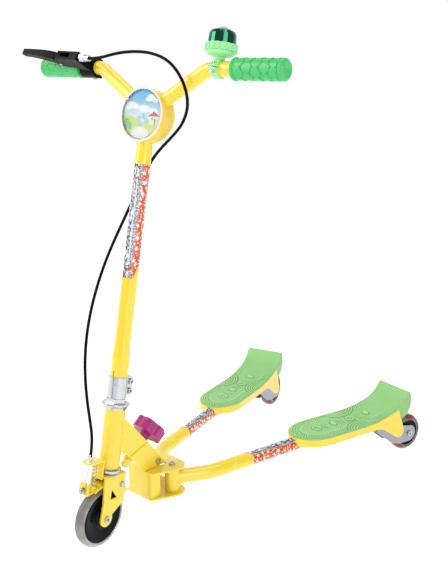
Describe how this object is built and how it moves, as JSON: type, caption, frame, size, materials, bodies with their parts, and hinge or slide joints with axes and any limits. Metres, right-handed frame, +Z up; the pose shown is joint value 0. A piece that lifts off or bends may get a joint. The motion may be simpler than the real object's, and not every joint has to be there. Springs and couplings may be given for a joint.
{
  "type": "three-wheeled kick scooter",
  "caption": "Folding child's scooter with one steered front wheel, two swinging legs with foot decks on rear casters, a hand brake on the front wheel and a twist bell.",
  "frame": {"origin": "middle of the bottom of the whole object's box, on the ground", "axes": "+Z up, the rider faces -Y, the rider's left is +X"},
  "size_m": [0.4876, 0.747, 0.8161],
  "materials": {
    "yellow_paint": "glossy yellow enamel over steel",
    "yellow_plastic": "semi-gloss yellow moulding",
    "bright_steel": "bright plated steel",
    "zinc_steel": "zinc-plated steel hardware",
    "silver_steel": "satin silver enamel over steel",
    "magenta_plastic": "smooth magenta moulding",
    "green_rubber": "soft green grip rubber",
    "pale_green_rubber": "pale green moulded foot pad",
    "mint_plastic": "mint green moulding",
    "dark_green_metal": "mirror-like dark green dome",
    "black_plastic": "black moulding",
    "black_casing": "black cable casing",
    "black_rubber": "black brake rubber",
    "grey_tyre": "translucent grey polyurethane tread",
    "smoky_tyre": "smoky polyurethane tread with a dark red band",
    "printed_card": "printed landscape",
    "clear_plastic": "clear moulded lid"
  },
  "bodies": {
    "yoke": {"yoke": "yellow_paint", "fold_pivot_bolt": "zinc_steel", "leg_pivot_bolts": "zinc_steel"},
    "front_frame": {"head_tube": "yellow_paint", "headset_cups": "bright_steel", "gusset": "yellow_paint", "fold_bracket": "yellow_paint", "knob_lug": "yellow_paint"},
    "fold_knob": {"knob": "magenta_plastic", "knob_stud": "zinc_steel"},
    "steering": {"stem": "yellow_paint", "fork": "yellow_paint", "headset_cones": "bright_steel", "clamp_collar": "bright_steel", "clamp_bolts": "zinc_steel", "bar_arm_left": "yellow_paint", "bar_arm_right": "yellow_paint", "grip_left": "green_rubber", "grip_right": "green_rubber", "picture_housing": "yellow_plastic", "picture_disc": "printed_card", "clear_cover": "clear_plastic", "cover_clips": "bright_steel", "bell_base": "mint_plastic", "bell_dome": "dark_green_metal", "bell_cap": "mint_plastic", "bar_screws": "zinc_steel", "lever_housing": "black_plastic", "cable_adjuster": "bright_steel", "brake_cable": "black_casing", "cable_fittings": "bright_steel", "brake_bracket": "yellow_paint", "brake_spring": "bright_steel", "brake_wire": "bright_steel", "brake_pivot_bolt": "zinc_steel", "front_axle_bolt": "zinc_steel"},
    "bell_ring": {"bell_ring": "mint_plastic"},
    "brake_lever": {"brake_lever": "black_plastic"},
    "brake_arm": {"brake_arm": "yellow_paint", "brake_pad": "black_rubber", "pinch_bolt": "zinc_steel"},
    "front_wheel": {"front_wheel_core": "black_plastic", "front_tyre": "grey_tyre", "front_bearings": "zinc_steel"},
    "left_leg": {"leg_left": "yellow_paint", "deck_left": "yellow_paint", "pad_left": "pale_green_rubber", "caster_mount_left": "silver_steel"},
    "left_caster": {"caster_fork_left": "silver_steel", "rear_axle_bolt_left": "zinc_steel"},
    "left_rear_wheel": {"rear_wheel_core_left": "black_plastic", "rear_tyre_left": "smoky_tyre"},
    "right_leg": {"leg_right": "yellow_paint", "deck_right": "yellow_paint", "pad_right": "pale_green_rubber", "caster_mount_right": "silver_steel"},
    "right_caster": {"caster_fork_right": "silver_steel", "rear_axle_bolt_right": "zinc_steel"},
    "right_rear_wheel": {"rear_wheel_core_right": "black_plastic", "rear_tyre_right": "smoky_tyre"}
  },
  "joints": [
    {"name": "fold", "type": "hinge", "parent": "yoke", "child": "front_frame", "pos_m": [0.00102, -0.20626, 0.11053], "axis": [-1, 0, 0], "range_deg": [0, 70]},
    {"name": "fold_knob_turn", "type": "hinge", "parent": "front_frame", "child": "fold_knob", "pos_m": [0.00102, -0.21006, 0.16563], "axis": [0, 0.7826, 0.6225], "range_deg": [-1080, 0]},
    {"name": "steering", "type": "hinge", "parent": "front_frame", "child": "steering", "pos_m": [0.00102, -0.29558, 0.14838], "axis": [0, 0.1809, 0.9835], "range_deg": [-52, 38]},
    {"name": "front_wheel_spin", "type": "hinge", "parent": "steering", "child": "front_wheel", "pos_m": [0.00226, -0.32369, 0.05002], "axis": [0.9921, 0.1233, -0.0227], "continuous": true},
    {"name": "brake_lever_pull", "type": "hinge", "parent": "steering", "child": "brake_lever", "pos_m": [-0.16627, -0.22985, 0.7743], "axis": [0.006, 0.4939, 0.8695], "range_deg": [-16, 0], "stiffness_Nm_per_rad": 0.6, "springref_deg": 6.88},
    {"name": "brake_arm_rock", "type": "hinge", "parent": "steering", "child": "brake_arm", "pos_m": [-0.00132, -0.28627, 0.09695], "axis": [0.9921, 0.1233, -0.0227], "range_deg": [-2.6, 0], "deforming": ["brake_spring", "brake_wire"]},
    {"name": "bell_ring_twist", "type": "hinge", "parent": "steering", "child": "bell_ring", "pos_m": [0.12552, -0.16255, 0.78482], "axis": [0, 0.1809, 0.9835], "range_deg": [-30, 30]},
    {"name": "left_leg_swing", "type": "hinge", "parent": "yoke", "child": "left_leg", "pos_m": [0.03002, -0.18476, 0.07653], "axis": [0, 0, 1], "range_deg": [-10, 10]},
    {"name": "left_caster_swivel", "type": "hinge", "parent": "left_leg", "child": "left_caster", "pos_m": [0.16154, 0.26422, 0.07303], "axis": [-0.1022, -0.4101, 0.9063], "range_deg": [-25, 25]},
    {"name": "left_rear_wheel_spin", "type": "hinge", "parent": "left_caster", "child": "left_rear_wheel", "pos_m": [0.17956, 0.33651, 0.03753], "axis": [0.9703, -0.2419, 0], "continuous": true},
    {"name": "right_leg_swing", "type": "hinge", "parent": "yoke", "child": "right_leg", "pos_m": [-0.02798, -0.18476, 0.07653], "axis": [0, 0, 1], "range_deg": [-10, 10]},
    {"name": "right_caster_swivel", "type": "hinge", "parent": "right_leg", "child": "right_caster", "pos_m": [-0.15951, 0.26422, 0.07303], "axis": [0.1022, -0.4101, 0.9063], "range_deg": [-25, 25]},
    {"name": "right_rear_wheel_spin", "type": "hinge", "parent": "right_caster", "child": "right_rear_wheel", "pos_m": [-0.17753, 0.33651, 0.03753], "axis": [0.9703, 0.2419, 0], "continuous": true}
  ],
  "couplings": [
    {"joint": "brake_arm_rock", "follows": "brake_lever_pull", "ratio": 0.15}
  ]
}
